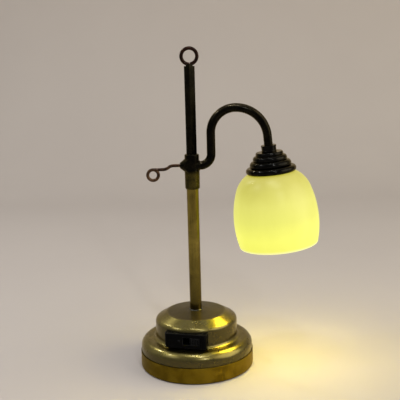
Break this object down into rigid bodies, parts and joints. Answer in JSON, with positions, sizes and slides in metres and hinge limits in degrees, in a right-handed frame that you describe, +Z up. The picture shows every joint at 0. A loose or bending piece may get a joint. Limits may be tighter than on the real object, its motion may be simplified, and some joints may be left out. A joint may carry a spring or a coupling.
{
  "type": "table lamp",
  "caption": "Small battery table lamp: round two-tier brass base, stem with carrying ring, sliding bent arm held by an eye screw, hanging opal glass shade.",
  "frame": {"origin": "centre of the base, on the plane that the rubber foot ring stands on", "axes": "+Z up along the stem, +X from the stem towards the arm and the shade, -Y towards the front, where the switch is"},
  "size_m": [0.1209, 0.076, 0.212],
  "materials": {
    "antique_brass": "satin",
    "cast_brass_finish": "satin",
    "dark_bronze": "satin",
    "copper_bronze": "satin",
    "rubber_foot": "matte",
    "black_plastic": "satin",
    "socket_black": "satin",
    "steel": "satin",
    "cell_can": "satin",
    "lead_sheath": "satin",
    "cap_nickel": "satin",
    "frosted_glass": "satin",
    "opal_glass": "satin"
  },
  "bodies": {
    "base": {"base_shell": "antique_brass", "base_drum": "cast_brass_finish", "foot_ring": "rubber_foot", "bottom_plate": "black_plastic", "base_screws": "steel", "battery_cells": "cell_can", "battery_contacts": "steel", "battery_springs": "steel", "switch_housing": "black_plastic", "switch_terminals": "steel", "stem_nipple": "steel", "stem_washer": "steel", "stem_nut": "steel", "stem_tube": "antique_brass", "upper_rod": "dark_bronze", "top_ring": "copper_bronze", "stem_leads": "lead_sheath"},
    "door": {"battery_door": "black_plastic"},
    "knob": {"switch_knob": "black_plastic"},
    "arm": {"clamp_sleeve": "dark_bronze", "arm_tube": "dark_bronze", "arm_nipple": "dark_bronze", "arm_collar": "dark_bronze", "shade_holder": "dark_bronze", "holder_nut": "steel", "lamp_socket": "socket_black", "socket_contact": "steel", "arm_leads": "lead_sheath"},
    "screw": {"eye_screw": "copper_bronze"},
    "bulb": {"bulb_cap": "cap_nickel", "bulb_globe": "frosted_glass"},
    "glass_shade": {"shade": "opal_glass"}
  },
  "joints": [
    {"name": "arm_height", "type": "slide", "parent": "base", "child": "arm", "axis": [0, 0, 1], "range_m": [0, 0.056]},
    {"name": "eye_screw_turn", "type": "hinge", "parent": "arm", "child": "screw", "pos_m": [-0.006, 0, 0.136], "axis": [-1, 0, 0], "range_deg": [0, 360]},
    {"name": "switch_slide", "type": "slide", "parent": "base", "child": "knob", "axis": [-0.9703, 0.2419, 0], "range_m": [0, 0.005]},
    {"name": "battery_door_off", "type": "slide", "parent": "base", "child": "door", "axis": [0, 0, -1], "range_m": [0, 0.025]},
    {"name": "shade_off", "type": "slide", "parent": "arm", "child": "glass_shade", "axis": [0.0958, 0, -0.9954], "range_m": [0, 0.04]},
    {"name": "bulb_out", "type": "slide", "parent": "arm", "child": "bulb", "axis": [0.0958, 0, -0.9954], "range_m": [0, 0.012]}
  ]
}
